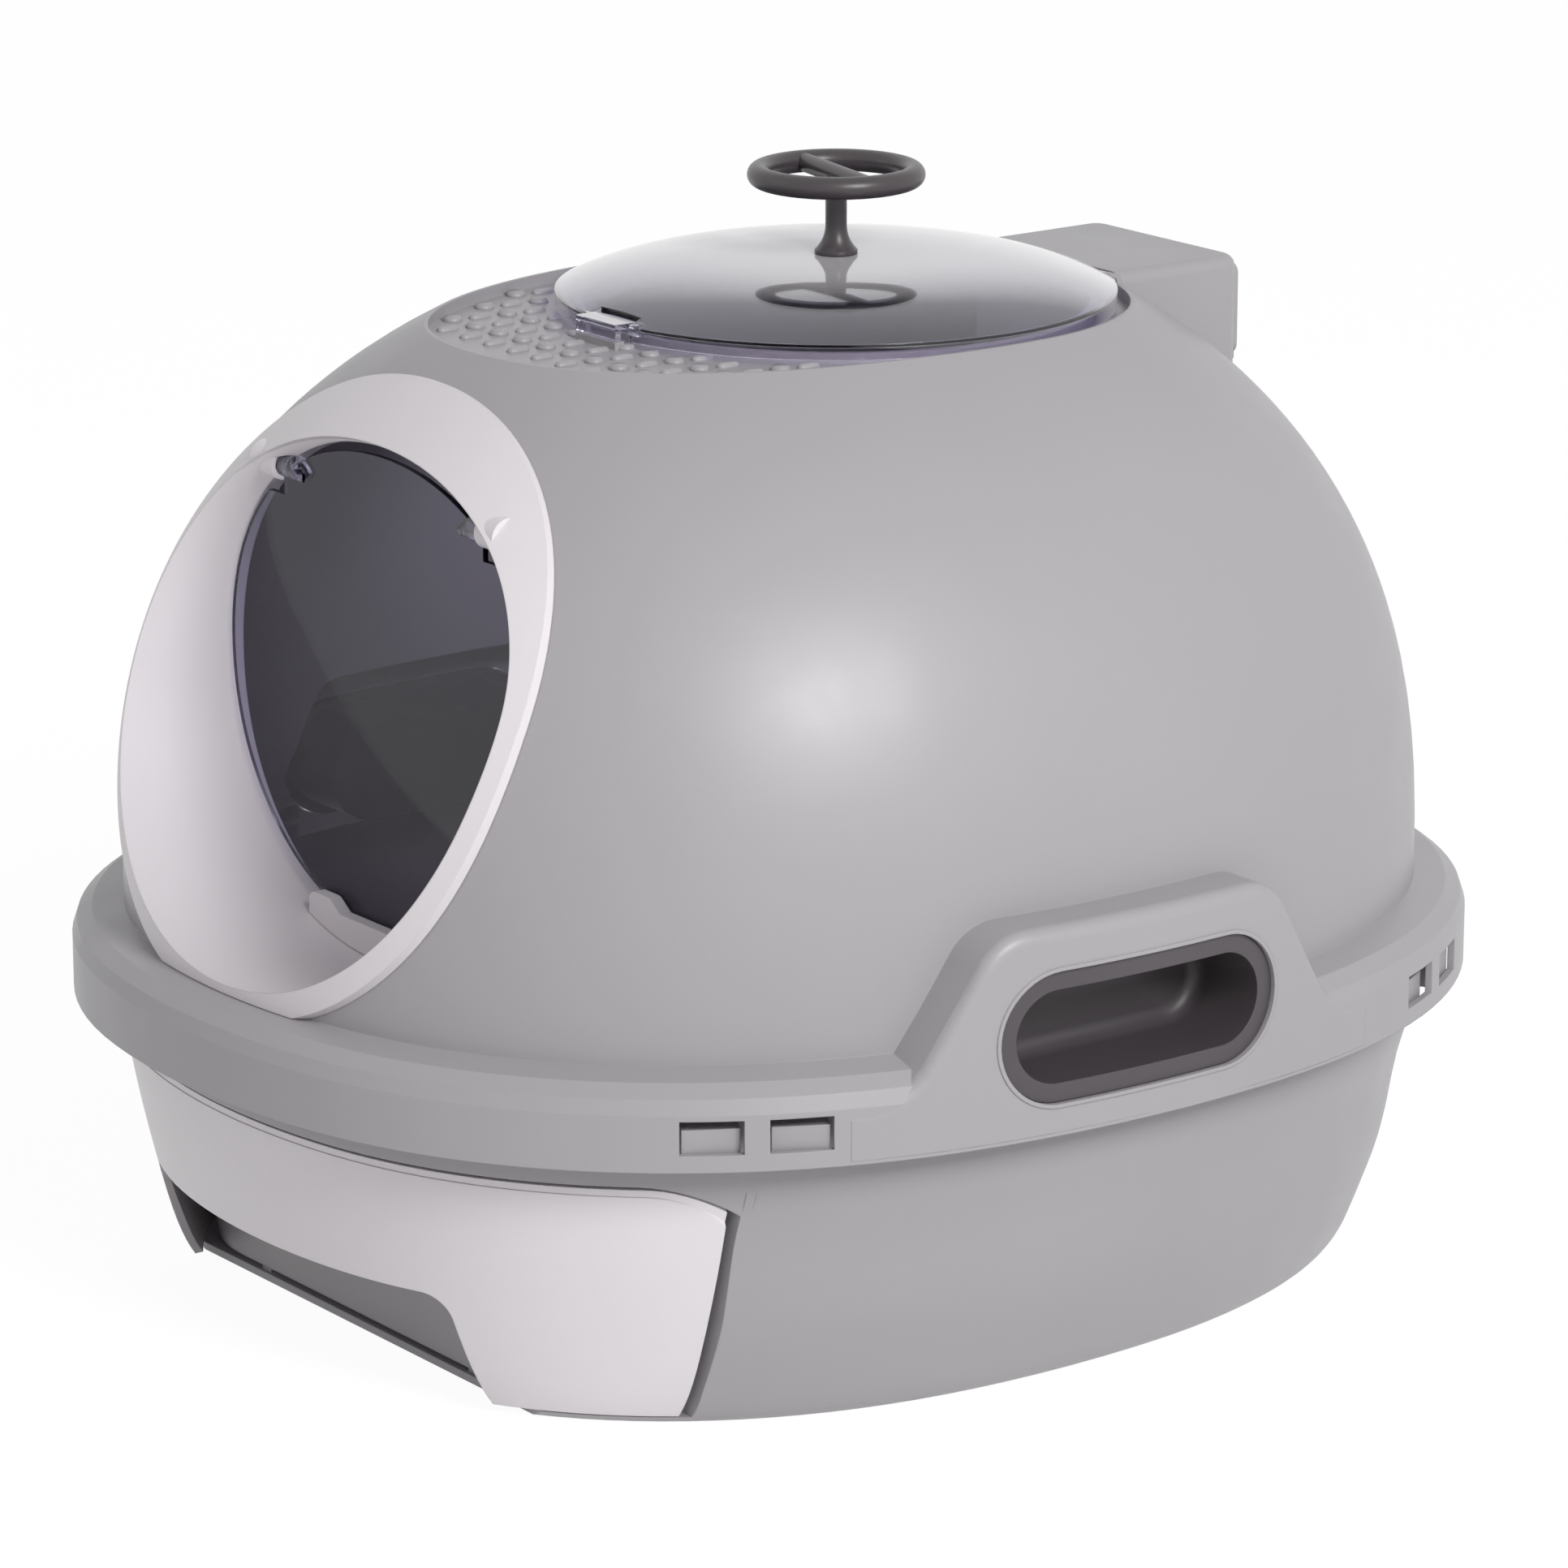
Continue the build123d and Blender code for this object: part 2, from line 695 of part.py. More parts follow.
def lid_handle():
    """Dark wheel with one spoke on a flared stem."""
    ring_height = wheel_top - wheel_tube
    place = Location((0, lid_centre, ring_height)) * Rotation(0, 0, -spoke_turn)
    ring = place * Rotation(0, 0, 45) * Torus(wheel_radius, wheel_tube)
    spoke = place * Rotation(0, 90, 0) * Cylinder(wheel_tube * 0.85, 2 * wheel_radius)
    foot = lid_top + 0.05
    outline = [(0, foot), (foot_radius, foot), (foot_radius, foot + 1.4)]
    flare = Spline(outline[-1], (stem_radius + 1.4, foot + 5), (stem_radius, foot + 11))
    side = Line((stem_radius, foot + 11), (stem_radius, ring_height))
    top = Line((stem_radius, ring_height), (0, ring_height))
    axis = Line((0, ring_height), (0, foot))
    face = make_face(Curve() + [Polyline(*outline), flare, side, top, axis])
    stem = Location((0, lid_centre, 0)) * revolve(Plane.XZ * face, Axis.Z)
    hole = Location((0, lid_centre, foot - 1)) * Cylinder(
        screw_radius, 15, align=(Align.CENTER, Align.CENTER, Align.MIN))
    return ring + spoke + stem - hole


def handle_screw():
    """Screw up through the lid into the stem."""
    low = lid_top - lid_wall - 1.35
    shank = Location((0, lid_centre, low)) * Cylinder(
        screw_radius - 0.02, 16, align=(Align.CENTER, Align.CENTER, Align.MIN))
    head = Location((0, lid_centre, low - 2.4)) * Cylinder(
        3.8, 2.4, align=(Align.CENTER, Align.CENTER, Align.MIN))
    slot = Location((0, lid_centre, low - 2.6)) * Box(5.6, 1, 1.6)
    return shank + head - slot


def handle_washer():
    """Flat washer between the screw head and the lid."""
    low = lid_top - lid_wall - 1.35
    ring = Cylinder(6.5, 1.15, align=(Align.CENTER, Align.CENTER, Align.MIN))
    ring -= Cylinder(screw_radius + 0.2, 5)
    return Location((0, lid_centre, low)) * ring


# Filter in the rear box

def filter_frame():
    """Shallow frame that carries the filter, with the rear cover as its front."""
    half = filter_opening / 2 - sliding_gap / 2
    low = filter_sill
    front = box_front + hood_wall + 3
    body = box_between(-half, half, front, box_rear + 0.2, low, low + filter_pad + 3)
    body -= box_between(-half + 2, half - 2, front + 2, box_rear - 2, low + 2, low + filter_pad + 4)
    count = 7
    for index in range(count):
        x = (index - (count - 1) / 2) * 8.5
        body -= box_between(x - 2, x + 2, front + 6, box_rear - 7, low - 1, low + 3)
    return body


def carbon_filter():
    """Carbon pad in the frame."""
    half = filter_opening / 2 - sliding_gap / 2 - 2 - seat_gap
    front = box_front + hood_wall + 5 + seat_gap
    return box_between(-half, half, front, box_rear - 2 - seat_gap,
                       filter_sill + 2, filter_sill + 2 + filter_pad)


def filter_cover():
    """Vented cover on the back of the rear box."""
    half = filter_opening / 2 + 3
    body = box_between(-half, half, box_rear + 0.2, box_rear + 2.8,
                       filter_sill - 3, filter_sill + filter_height + 3)
    body = fillet(body.edges().filter_by(Axis.Y), 4)
    for index in range(4):
        z = filter_sill + 15 + index * 4.4
        body -= box_between(-half + 9, half - 9, box_rear - 1, box_rear + 4, z, z + 2.2)
    return body + box_between(-15, 15, box_rear + 1, box_rear + 6, filter_sill + 3.5, filter_sill + 6.5)


# Base and drawer

def tray_section(width, front, rear, height, inset=0.0):
    """Plan outline of the drawer tray at a height."""
    length = rear - front - 2 * inset
    face = RectangleRounded(width - 2 * inset, length, tray_corner - inset)
    return Location((0, (front + rear) / 2, height)) * face


def tray_solid(inset=0.0, low=None, high=None):
    """Tapered block of the drawer tray, moved in by inset."""
    low = tray_bottom if low is None else low
    high = tray_bottom + tray_height if high is None else high
    part_low = (low - tray_bottom) / tray_height
    part_high = (high - tray_bottom) / tray_height
    sections = []
    for part, height in ((part_low, low), (part_high, high)):
        width = tray_bottom_width + (tray_top_width - tray_bottom_width) * part
        sections.append(tray_section(width, tray_front + tray_draft * (1 - part),
                                     tray_rear - tray_draft * (1 - part), height, inset))
    return loft(sections, ruled=True)


def front_prism(outset, low, rear):
    """Outline of the drawer front seen from the front, with rounded top corners, carried along Y."""
    half = front_half + outset
    top = drawer_top + outset
    profile = Plane.XZ * make_face(Polyline((-half, low), (half, low), (half, top), (-half, top),
                                            close=True))
    corners = [corner for corner in profile.vertices() if corner.Z > top - 1]
    profile = fillet(corners, front_corner + outset)
    return Location((0, rear, 0)) * extrude(profile, amount=half_depth + 10 + rear, dir=(0, -1, 0))


def base_shell():
    """Bowl with an open front, a frame round the drawer and a rim for the hood."""
    shell = bowl_solid() - bowl_solid(base_wall, base_floor, rim_seat + 1)
    shell -= front_prism(front_gap, base_floor, frame_face)
    shell -= box_between(-half_width, half_width, -half_depth, frame_face, base_floor,
                         drawer_cut_top - front_corner - front_gap)
    shell -= box_between(-half_width, half_width, -half_depth, front_line, -1, base_floor + 1)
    frame = bowl_solid(0.2, 0.0, drawer_cut_top + 3) & box_between(
        -half_width, half_width, frame_face, frame_face + frame_thickness, base_floor - 1, drawer_cut_top + 3)
    shell += frame
    # Moved forward, so that the frame lets the tray's full width through
    passage = Location((0, -2 * tray_corner, 0)) * tray_solid(-sliding_gap, base_floor, drawer_cut_top)
    shell -= passage & box_between(
        -half_width, half_width, frame_face - 1, frame_face + frame_thickness + 1, base_floor, drawer_cut_top)
    runners = both_sides(box_between(runner_centre - runner_width / 2, runner_centre + runner_width / 2,
                                     front_line + 2, tray_rear - 10, base_floor - 0.5,
                                     base_floor + runner_height))
    for side in (1, -1):
        shell -= box_between(min(side * 180, side * half_width), max(side * 180, side * half_width),
                             handle_centre - handle_length / 2 - 3, handle_centre + handle_length / 2 + 3,
                             handle_height - handle_width / 2 - 2, rim_seat + 1)
    stop = box_between(-60, 60, tray_rear + sliding_gap, tray_rear + sliding_gap + 3, base_floor - 0.5, 30)
    return shell + runners + stop + base_hooks()


def base_hooks():
    """Hook blocks on the rim, one behind each clip window."""
    hooks = Part()
    reach = base_top_inset + base_wall
    for place in clip_places():
        hooks += clip_block(place, clip_width - 2 * hook_play, -hood_wall - hook_inset, reach,
                            clip_low - 1.5, clip_low - 1.5 + hook_height)
    return hooks


def drawer_tray():
    """Grey litter tray that slides in the base."""
    tray = tray_solid() - tray_solid(tray_wall, tray_bottom + tray_wall, tray_bottom + tray_height + 1)
    wall = (tray_front - 2, tray_front + 6)
    for x in (-screw_boss_x, screw_boss_x):
        tray -= rod_y(wall[0], wall[1], x, screw_boss_z, screw_radius + 0.3)
    return tray


def drawer_front():
    """White curved front of the drawer, with the arch that the fingers reach under."""
    low = front_bottom
    reach = box_between(-half_width, half_width, -half_depth - 5, front_face, low, drawer_top)
    skin = bowl_solid(0.0, low, drawer_top) & reach & front_prism(0.0, low - 5, front_face)
    skin -= bowl_solid(front_wall, low - 1, drawer_top - front_wall) & front_prism(
        -front_wall, low - 5, front_face + 1)
    border = bowl_solid(-1, low, drawer_top) - bowl_solid(border_step, low - 1, drawer_top + 1)
    skin -= border - front_prism(-front_border, low - 5, front_face + 30)
    skin -= tray_solid(-seat_gap, tray_bottom, drawer_top + 1)
    side = Plane.XZ * Polyline((-half_width, drawer_top + 20), (half_width, drawer_top + 20),
                               (half_width, low - 20), (-half_width, low - 20), close=True)
    arch = Plane.XZ * make_face(Polyline((-arch_cut_half - 4, low - 8), (-arch_cut_half, arch_cut_top),
                                         (arch_cut_half, arch_cut_top), (arch_cut_half + 4, low - 8),
                                         close=True))
    upper = [corner for corner in arch.vertices() if corner.Z > arch_cut_top - 1]
    arch = fillet(upper, arch_cut_corner)
    skin -= Location((0, -190, 0)) * extrude(arch, amount=120, dir=(0, -1, 0))
    bosses = Part()
    for x in (-screw_boss_x, screw_boss_x):
        post = rod_y(-half_depth, tray_front + 0.3, x, screw_boss_z, screw_boss_radius)
        bosses += post
    bosses = bosses & bowl_solid(0.5, low, drawer_top)
    bosses -= tray_solid(-0.02, tray_bottom, drawer_top + 1)
    front = skin + bosses
    for x in (-screw_boss_x, screw_boss_x):
        front -= rod_y(tray_front - 16, tray_front + 4, x, screw_boss_z, screw_radius)
    return front


def drawer_screws():
    """Two screws that hold the front to the tray."""
    screws = []
    for x in (-screw_boss_x, screw_boss_x):
        inner = tray_front + tray_wall + 1.0
        shank = rod_y(tray_front - 14, inner, x, screw_boss_z, screw_radius - 0.02)
        head = rod_y(inner - 0.01, inner + 2.2, x, screw_boss_z, 3.8)
        screws.append(shank + head)
    return Compound(children=[part.solid() for part in screws])


def all_pieces():
    """Every piece by name."""
    pegs = [door_peg(-1), door_peg(1)]
    return {
        "base_shell": base_shell(),
        "drawer_tray": drawer_tray(),
        "drawer_front": drawer_front(),
        "drawer_screws": drawer_screws(),
        "hood_shell": hood_shell(),
        "entrance_collar": entrance_collar(),
        "door_sill": door_sill(),
        "door_flap": door_flap(pegs),
        "door_peg_left": pegs[0],
        "door_peg_right": pegs[1],
        "top_lid": top_lid(),
        "lid_latch": lid_latch(),
        "lid_hinge_pin": lid_hinge_pin(),
        "lid_handle": lid_handle(),
        "handle_screw": handle_screw(),
        "handle_washer": handle_washer(),
        "side_handle_left": side_handle(-1),
        "side_handle_right": side_handle(1),
        "filter_frame": filter_frame(),
        "filter_cover": filter_cover(),
        "carbon_filter": carbon_filter(),
    }


# Face merging after each cut is left out, because it is slow on the curved shells
with SkipClean():
    for name, piece in all_pieces().items():
        export_step(piece, f"parts/{name}.step")
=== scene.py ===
import bpy
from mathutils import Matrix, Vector


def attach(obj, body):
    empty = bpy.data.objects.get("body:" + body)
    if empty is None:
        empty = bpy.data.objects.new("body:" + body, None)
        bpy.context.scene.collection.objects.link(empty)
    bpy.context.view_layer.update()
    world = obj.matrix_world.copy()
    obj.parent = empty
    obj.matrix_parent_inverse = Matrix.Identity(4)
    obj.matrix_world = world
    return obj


bl_info = {
    "name": "Covered Litter Box",
    "version": (1, 0, 0),
    "blender": (4, 2, 0),
    "location": "3D View > Sidebar > Litter Box",
    "description": "Finishes a covered litter box and stands it on a pale studio floor",
    "category": "Object",
}

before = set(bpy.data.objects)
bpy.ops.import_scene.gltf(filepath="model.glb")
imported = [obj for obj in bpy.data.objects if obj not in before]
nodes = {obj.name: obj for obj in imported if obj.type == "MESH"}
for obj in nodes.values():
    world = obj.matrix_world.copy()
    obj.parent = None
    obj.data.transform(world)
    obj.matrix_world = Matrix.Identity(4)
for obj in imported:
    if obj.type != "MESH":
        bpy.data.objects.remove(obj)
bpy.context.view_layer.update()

MM = 0.001


def hex_colour(text):
    """Linear colour with alpha 1 from an sRGB hex value such as B4B3B6."""
    channels = []
    for start in (0, 2, 4):
        value = int(text[start:start + 2], 16) / 255
        channels.append(value / 12.92 if value <= 0.04045 else ((value + 0.055) / 1.055) ** 2.4)
    return (*channels, 1.0)


def add(tree, kind, inputs=(), **settings):
    """Adds one node with its settings.
    inputs gives a value or another node's output for each socket."""
    node = tree.nodes.new(kind)
    for name, value in settings.items():
        setattr(node, name, value)
    for name, value in dict(inputs).items():
        if isinstance(value, bpy.types.NodeSocket):
            tree.links.new(value, node.inputs[name])
        else:
            node.inputs[name].default_value = value
    return node


def new_material(name):
    """Empty node material and its tree."""
    material = bpy.data.materials.new(name)
    material.use_nodes = True
    material.node_tree.nodes.clear()
    return material, material.node_tree


def close_material(material, tree, surface):
    """Joins the finished surface to the material's output."""
    add(tree, "ShaderNodeOutputMaterial", {"Surface": surface})
    return material


def dress(names, material):
    """Gives the material to every named piece of the frame."""
    for name in names:
        piece = nodes[name]
        if not piece.material_slots:
            piece.data.materials.append(material)
        for slot in piece.material_slots:
            slot.material = material


def colour_property(name, text, description):
    """Colour setting with an sRGB hex default."""
    return bpy.props.FloatVectorProperty(
        name=name, subtype="COLOR", size=4, min=0.0, max=1.0, default=hex_colour(text),
        description=description)


def length_property(name, millimetres, description):
    """Length setting with its default in millimetres."""
    return bpy.props.FloatProperty(
        name=name, subtype="DISTANCE", unit="LENGTH", min=0.0, default=millimetres * MM,
        description=description)


# Finishes

# Mean roughness of each moulding, and how far it drifts
SHELL_ROUGHNESS = 0.40
TRAY_ROUGHNESS = 0.42
WHEEL_ROUGHNESS = 0.34
ROUGHNESS_DRIFT = 0.025

# Refractive indices
POLYPROPYLENE_IOR = 1.49
STYRENE_IOR = 1.59
PEG_IOR = 1.5
# The door faces the dark side of the room, so it mirrors less than its true index would
DOOR_IOR = 1.25


def moulded_polypropylene(name, colour, shade, grain, depth, roughness):
    """Polypropylene from a finely etched mould.
    It gives a soft sheen that spreads a lamp wide, a faint drift in tone where the melt flowed,
    and edges rounded by the mould."""
    material, tree = new_material(name)
    place = add(tree, "ShaderNodeTexCoord").outputs["Object"]
    # Pigment drifts over about 110 mm
    drift = add(tree, "ShaderNodeTexNoise", {
        "Vector": place, "Scale": 9.0, "Detail": 2.0, "Roughness": 0.5})
    tone = add(tree, "ShaderNodeMix", {"Factor": drift.outputs["Fac"]}, data_type="RGBA")
    tone.inputs["A"].default_value = colour
    tone.inputs["B"].default_value = shade
    # Sheen changes over about 25 mm, as the melt front cooled
    flow = add(tree, "ShaderNodeTexNoise", {"Vector": place, "Scale": 40.0, "Detail": 3.0})
    sheen = add(tree, "ShaderNodeMapRange", {
        "Value": flow.outputs["Fac"], "From Min": 0.3, "From Max": 0.7,
        "To Min": roughness - ROUGHNESS_DRIFT, "To Max": roughness + ROUGHNESS_DRIFT})
    # The etched grain of a real mould is about 0.1 mm. It is drawn coarser so that it shows
    etch = add(tree, "ShaderNodeTexNoise", {"Vector": place, "Scale": 1.0 / grain, "Detail": 1.0})
    edge = add(tree, "ShaderNodeBevel", {"Radius": 0.6 * MM}, samples=4)
    grip = add(tree, "ShaderNodeBump", {
        "Height": etch.outputs["Fac"], "Normal": edge.outputs["Normal"], "Distance": depth,
        "Strength": 0.5})
    surface = add(tree, "ShaderNodeBsdfPrincipled", {
        "Base Color": tone.outputs["Result"], "Roughness": sheen.outputs["Result"],
        "Normal": grip.outputs["Normal"], "IOR": POLYPROPYLENE_IOR})
    return close_material(material, tree, surface.outputs["BSDF"])


def clear_styrene(name, tint, edge_tint, haze, reflection_paint_share, ior):
    """Clear injection-moulded styrene.
    It gives sharp reflections of the room and a blue-violet cast along the sheet. Where the eye meets
    it at a low angle, a white layer is mixed in as a painted reflection of the white room, as strongly
    as the share argument sets."""
    material, tree = new_material(name)
    place = add(tree, "ShaderNodeTexCoord").outputs["Object"]
    facing = add(tree, "ShaderNodeLayerWeight", {"Blend": 0.5})
    tone = add(tree, "ShaderNodeMix", {"Factor": facing.outputs["Facing"]}, data_type="RGBA")
    tone.inputs["A"].default_value = tint
    tone.inputs["B"].default_value = edge_tint
    # Flow marks about 20 mm long, as a clear moulding has round its gate
    flow = add(tree, "ShaderNodeTexNoise", {"Vector": place, "Scale": 50.0, "Detail": 2.0})
    gloss = add(tree, "ShaderNodeMapRange", {
        "Value": flow.outputs["Fac"], "From Min": 0.3, "From Max": 0.7,
        "To Min": haze * 0.8, "To Max": haze * 1.2})
    edge = add(tree, "ShaderNodeBevel", {"Radius": 0.5 * MM}, samples=4)
    ripple = add(tree, "ShaderNodeBump", {
        "Height": flow.outputs["Fac"], "Normal": edge.outputs["Normal"], "Distance": 0.04 * MM,
        "Strength": 0.3})
    body = add(tree, "ShaderNodeBsdfPrincipled", {
        "Base Color": tone.outputs["Result"], "Roughness": gloss.outputs["Result"],
        "Normal": ripple.outputs["Normal"], "IOR": ior, "Transmission Weight": 1.0})
    # Painted reflection: a plain white surface that stands in for the white room mirrored in the sheet
    # at glancing angles
    painted_white_reflection = add(tree, "ShaderNodeBsdfPrincipled", {
        "Base Color": hex_colour("F8F5F7"), "Roughness": haze * 1.5, "Normal": ripple.outputs["Normal"],
        "IOR": STYRENE_IOR})
    # How much of the painted reflection shows, from none face-on up to the given share at a glancing
    # angle
    painted_reflection_mask = add(tree, "ShaderNodeMapRange", {
        "Value": facing.outputs["Facing"], "From Min": 0.62, "From Max": 0.94,
        "To Min": 0.0, "To Max": reflection_paint_share})
    with_painted_reflection = add(tree, "ShaderNodeMixShader", {
        0: painted_reflection_mask.outputs["Result"], 1: body.outputs["BSDF"], 2: painted_white_reflection.outputs["BSDF"]})
    # Lamps shine through it, as they do through real clear plastic
    through = add(tree, "ShaderNodeBsdfTransparent", {"Color": tint})
    path = add(tree, "ShaderNodeLightPath")
    surface = add(tree, "ShaderNodeMixShader", {
        0: path.outputs["Is Shadow Ray"], 1: with_painted_reflection.outputs["Shader"], 2: through.outputs["BSDF"]})
    return close_material(material, tree, surface.outputs["Shader"])


def zinc_plated_steel(name, colour):
    """Steel with bright zinc plating.
    It gives a grey metal with a faint crystal mottle."""
    material, tree = new_material(name)
    place = add(tree, "ShaderNodeTexCoord").outputs["Object"]
    # Zinc crystals about 0.5 mm across
    crystal = add(tree, "ShaderNodeTexVoronoi", {"Vector": place, "Scale": 2000.0})
    shine = add(tree, "ShaderNodeMapRange", {
        "Value": crystal.outputs["Distance"], "To Min": 0.24, "To Max": 0.38})
    edge = add(tree, "ShaderNodeBevel", {"Radius": 0.2 * MM}, samples=4)
    surface = add(tree, "ShaderNodeBsdfPrincipled", {
        "Base Color": colour, "Metallic": 1.0, "Roughness": shine.outputs["Result"],
        "Normal": edge.outputs["Normal"]})
    return close_material(material, tree, surface.outputs["BSDF"])


def drawn_steel_wire(name, colour):
    """Bright wire pulled through a die.
    It gives fine lines along the pin and a sharp streak of light."""
    material, tree = new_material(name)
    place = add(tree, "ShaderNodeTexCoord").outputs["Object"]
    stretch = add(tree, "ShaderNodeMapping", {"Vector": place, "Scale": (60.0, 6000.0, 6000.0)})
    lines = add(tree, "ShaderNodeTexNoise", {"Vector": stretch.outputs["Vector"], "Scale": 1.0})
    draw = add(tree, "ShaderNodeBump", {
        "Height": lines.outputs["Fac"], "Distance": 0.01 * MM, "Strength": 0.4})
    surface = add(tree, "ShaderNodeBsdfPrincipled", {
        "Base Color": colour, "Metallic": 1.0, "Roughness": 0.25, "Normal": draw.outputs["Normal"]})
    return close_material(material, tree, surface.outputs["BSDF"])


def carbon_foam(name, colour, fleck):
    """Open polyurethane foam dusted with activated carbon.
    It gives a black pad with 2 mm cells and dull grey flecks."""
    material, tree = new_material(name)
    place = add(tree, "ShaderNodeTexCoord").outputs["Object"]
    cells = add(tree, "ShaderNodeTexVoronoi", {"Vector": place, "Scale": 500.0})
    tone = add(tree, "ShaderNodeMix", {"Factor": cells.outputs["Distance"]}, data_type="RGBA")
    tone.inputs["A"].default_value = colour
    tone.inputs["B"].default_value = fleck
    pores = add(tree, "ShaderNodeBump", {
        "Height": cells.outputs["Distance"], "Distance": 0.8 * MM, "Strength": 0.8})
    surface = add(tree, "ShaderNodeBsdfPrincipled", {
        "Base Color": tone.outputs["Result"], "Roughness": 0.9, "Normal": pores.outputs["Normal"]})
    return close_material(material, tree, surface.outputs["BSDF"])


# Settings

class ShellSettings(bpy.types.PropertyGroup):
    """Sizes and colours of the grey and white mouldings."""

    grey: colour_property("Grey", "A4A1A5", "Grey of the hood and the base")
    grey_shade: colour_property("Grey shade", "9F9CA0", "Darker drift in the grey")
    tray_grey: colour_property("Tray grey", "9E9B9D", "Grey of the drawer tray and the filter frame")
    white: colour_property("White", "E2DDE1", "Off-white of the collar, sill and drawer front")
    white_shade: colour_property("White shade", "DCD7DB", "Darker drift in the white")
    grip_colour: colour_property("Grip", "524D51", "Dark colour of the side grips")
    grain: length_property("Grain", 0.8, "Spacing of the etched grain")
    grain_depth: length_property("Grain depth", 0.03, "Height of the etched grain")


class ClearSettings(bpy.types.PropertyGroup):
    """Colours of the clear door and lid."""

    tint: colour_property("Tint", "EDEBF2", "Colour of light that passes straight through")
    lid_tint: colour_property("Lid tint", "DAD7E0", "Colour of light that passes through the lid")
    edge_tint: colour_property("Edge tint", "8B8CB4", "Colour along the sheet and at its edges")
    haze: bpy.props.FloatProperty(
        name="Haze", min=0.0, max=1.0, default=0.03, description="Roughness of the clear surface")


class LidSettings(bpy.types.PropertyGroup):
    """Colours of the lid's wheel handle and its fasteners."""

    wheel: colour_property("Wheel", "433E41", "Dark colour of the wheel handle")
    wheel_shade: colour_property("Wheel shade", "3E393C", "Darker drift in the wheel handle")
    zinc: colour_property("Zinc", "C9CACC", "Plating of the screws and the washer")
    wire: colour_property("Wire", "D0D1D3", "Drawn wire of the hinge pin")
    carbon: colour_property("Carbon", "1C1C1D", "Carbon foam of the filter")
    carbon_fleck: colour_property("Carbon fleck", "3A3A3C", "Lighter flecks in the carbon foam")


class PatternSettings(bpy.types.PropertyGroup):
    """Sizes of the raised buttons and bars on the floor of the top recess."""

    pitch: length_property("Pitch", 15.4, "Distance between like bumps in a row")
    row_spacing: length_property("Row spacing", 11.45, "Distance between rows")
    row_shift: length_property("Row shift", 1.7, "Sideways step from one row to the next")
    button_size: length_property("Button size", 8.0, "Diameter of a round button")
    bar_length: length_property("Bar length", 9.6, "Length of a bar")
    bar_width: length_property("Bar width", 4.0, "Width of a bar")
    height: length_property("Height", 1.8, "Height of the bumps above the recess floor")


class StageSettings(bpy.types.PropertyGroup):
    """Lamps, room and camera."""

    key_power: bpy.props.FloatProperty(
        name="Key lamp", subtype="POWER", min=0.0, default=57.0, description="Large lamp on the right")
    fill_power: bpy.props.FloatProperty(
        name="Fill lamp", subtype="POWER", min=0.0, default=3.0,
        description="Weak lamp on the front left")
    room: bpy.props.FloatProperty(
        name="Room light", min=0.0, default=0.40, description="Brightness of the white room")
    lens: bpy.props.FloatProperty(
        name="Lens", min=1.0, default=154.55,
        description="Focal length in millimetres on a 36 mm sensor")


# Pieces

class LITTERBOX_OT_shells(bpy.types.Operator):
    """Finish the grey hood, base, tray and rear filter pieces"""

    bl_idname = "litterbox.shells"
    bl_label = "Grey Shells"

    def execute(self, context):
        look = context.scene.litterbox_shells
        shell = moulded_polypropylene(
            "Etched polypropylene, grey", look.grey, look.grey_shade, look.grain, look.grain_depth,
            SHELL_ROUGHNESS)
        dress(("hood_shell", "base_shell", "filter_cover"), shell)
        inner = moulded_polypropylene(
            "Etched polypropylene, tray grey", look.tray_grey, look.grey_shade, look.grain,
            look.grain_depth, TRAY_ROUGHNESS)
        dress(("drawer_tray", "filter_frame"), inner)
        return {"FINISHED"}


class LITTERBOX_OT_whites(bpy.types.Operator):
    """Finish the white collar, sill and drawer front"""

    bl_idname = "litterbox.whites"
    bl_label = "White Mouldings"

    def execute(self, context):
        look = context.scene.litterbox_shells
        white = moulded_polypropylene(
            "Etched polypropylene, white", look.white, look.white_shade, look.grain, look.grain_depth,
            SHELL_ROUGHNESS)
        dress(("entrance_collar", "door_sill", "drawer_front"), white)
        return {"FINISHED"}


class LITTERBOX_OT_door(bpy.types.Operator):
    """Finish the clear swing door and its pegs"""

    bl_idname = "litterbox.door"
    bl_label = "Swing Door"

    def execute(self, context):
        look = context.scene.litterbox_clear
        door = clear_styrene(
            "Moulded clear styrene, door", look.tint, look.edge_tint, look.haze, 0.0, DOOR_IOR)
        dress(("door_flap",), door)
        pegs = clear_styrene(
            "Moulded clear styrene, pegs", look.tint, look.edge_tint, look.haze, 0.0, PEG_IOR)
        dress(("door_peg_left", "door_peg_right"), pegs)
        return {"FINISHED"}


class LITTERBOX_OT_lid(bpy.types.Operator):
    """Finish the clear lid, its latch, wheel handle, hinge pin and fasteners"""

    bl_idname = "litterbox.lid"
    bl_label = "Top Lid"

    def execute(self, context):
        clear = context.scene.litterbox_clear
        look = context.scene.litterbox_lid
        shells = context.scene.litterbox_shells
        lid = clear_styrene(
            "Moulded clear styrene, lid", clear.lid_tint, clear.edge_tint, clear.haze, 1.0, STYRENE_IOR)
        dress(("top_lid", "lid_latch"), lid)
        wheel = moulded_polypropylene(
            "Etched polypropylene, dark wheel", look.wheel, look.wheel_shade, shells.grain,
            shells.grain_depth, WHEEL_ROUGHNESS)
        dress(("lid_handle",), wheel)
        dress(("handle_screw", "handle_washer", "drawer_screws"),
              zinc_plated_steel("Zinc plated steel", look.zinc))
        dress(("lid_hinge_pin",), drawn_steel_wire("Drawn steel wire", look.wire))
        return {"FINISHED"}


